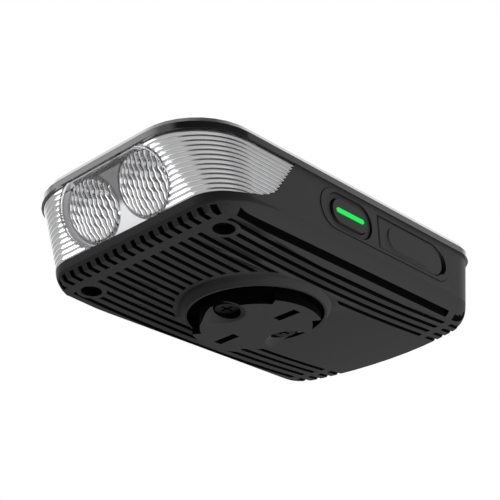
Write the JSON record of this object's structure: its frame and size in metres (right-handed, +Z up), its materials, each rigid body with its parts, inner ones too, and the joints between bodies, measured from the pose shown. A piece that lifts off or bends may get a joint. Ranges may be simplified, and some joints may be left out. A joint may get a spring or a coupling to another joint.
{
  "type": "bike headlight",
  "caption": "Flat rounded bicycle headlight: clear wrap-around lens over twin lamps, finned underside, side button and port flap, quarter-turn insert for a handlebar mount.",
  "frame": {"origin": "centre of the quarter-turn insert's lower face, which is what the light rests on and is locked by", "axes": "+Z up, square to the mount face; the beam leaves towards -Y, so +Y runs to the rear along the length; +X is the side with the button and the charging port"},
  "size_m": [0.06, 0.1058, 0.0267],
  "materials": {
    "gloss_black": "high gloss, smooth",
    "housing_black": "fine matt texture",
    "cast_black": "die-cast, black matt coating",
    "seal_rubber": "soft, matt",
    "control_rubber": "soft, satin",
    "clear": "clear, polished, ribbed at the sides",
    "bezel_silver": "metallised",
    "chip_yellow": "phosphor coat",
    "lamp_board_white": "white solder mask on metal core",
    "bare_alloy": "bare, bent sheet",
    "flex_amber": "polyimide film",
    "board_green": "solder mask",
    "chip_black": "moulded",
    "ferrite": "moulded ferrite",
    "switch_grey": "moulded",
    "indicator": "diffused",
    "steel": "plated",
    "green_light": "light guide, lit green",
    "cell_foil": "foil pouch",
    "tray_grey": "moulded",
    "foam": "foam",
    "insert_black": "glass-filled nylon",
    "screw_black": "black oxide",
    "brass": "knurled"
  },
  "bodies": {
    "lamp": {"top_cover": "gloss_black", "main_housing": "housing_black", "bottom_cover": "cast_black", "cover_seal": "seal_rubber", "front_lens": "clear", "lens_bezel": "bezel_silver", "optic_left": "clear", "optic_right": "clear", "led_left": "chip_yellow", "led_right": "chip_yellow", "lamp_board": "lamp_board_white", "heat_bracket": "bare_alloy", "lamp_flex": "flex_amber", "driver_board": "board_green", "driver_chip": "chip_black", "driver_inductor": "ferrite", "control_board": "board_green", "board_header": "chip_black", "tact_switch": "switch_grey", "status_leds": "indicator", "usb_socket": "steel", "control_strip": "control_rubber", "battery_tray": "tray_grey", "battery_cell_lower": "cell_foil", "battery_cell_upper": "cell_foil", "battery_board": "board_green", "battery_pad": "foam", "mount_disc": "insert_black", "mount_screws": "screw_black", "mount_inserts": "brass", "housing_screws": "screw_black"},
    "button": {"power_button": "control_rubber", "button_light_bar": "green_light", "switch_stem": "switch_grey"},
    "flap": {"port_flap": "control_rubber"}
  },
  "joints": [
    {"name": "button_press", "type": "slide", "parent": "lamp", "child": "button", "axis": [-1, 0, 0], "range_m": [0, 0.0005], "stiffness_N_per_m": 3000},
    {"name": "port_flap_swing", "type": "hinge", "parent": "lamp", "child": "flap", "pos_m": [0.02895, 0.0112, 0.0179], "axis": [0, 0, -1], "range_deg": [0, 100], "stiffness_Nm_per_rad": 0.002}
  ]
}
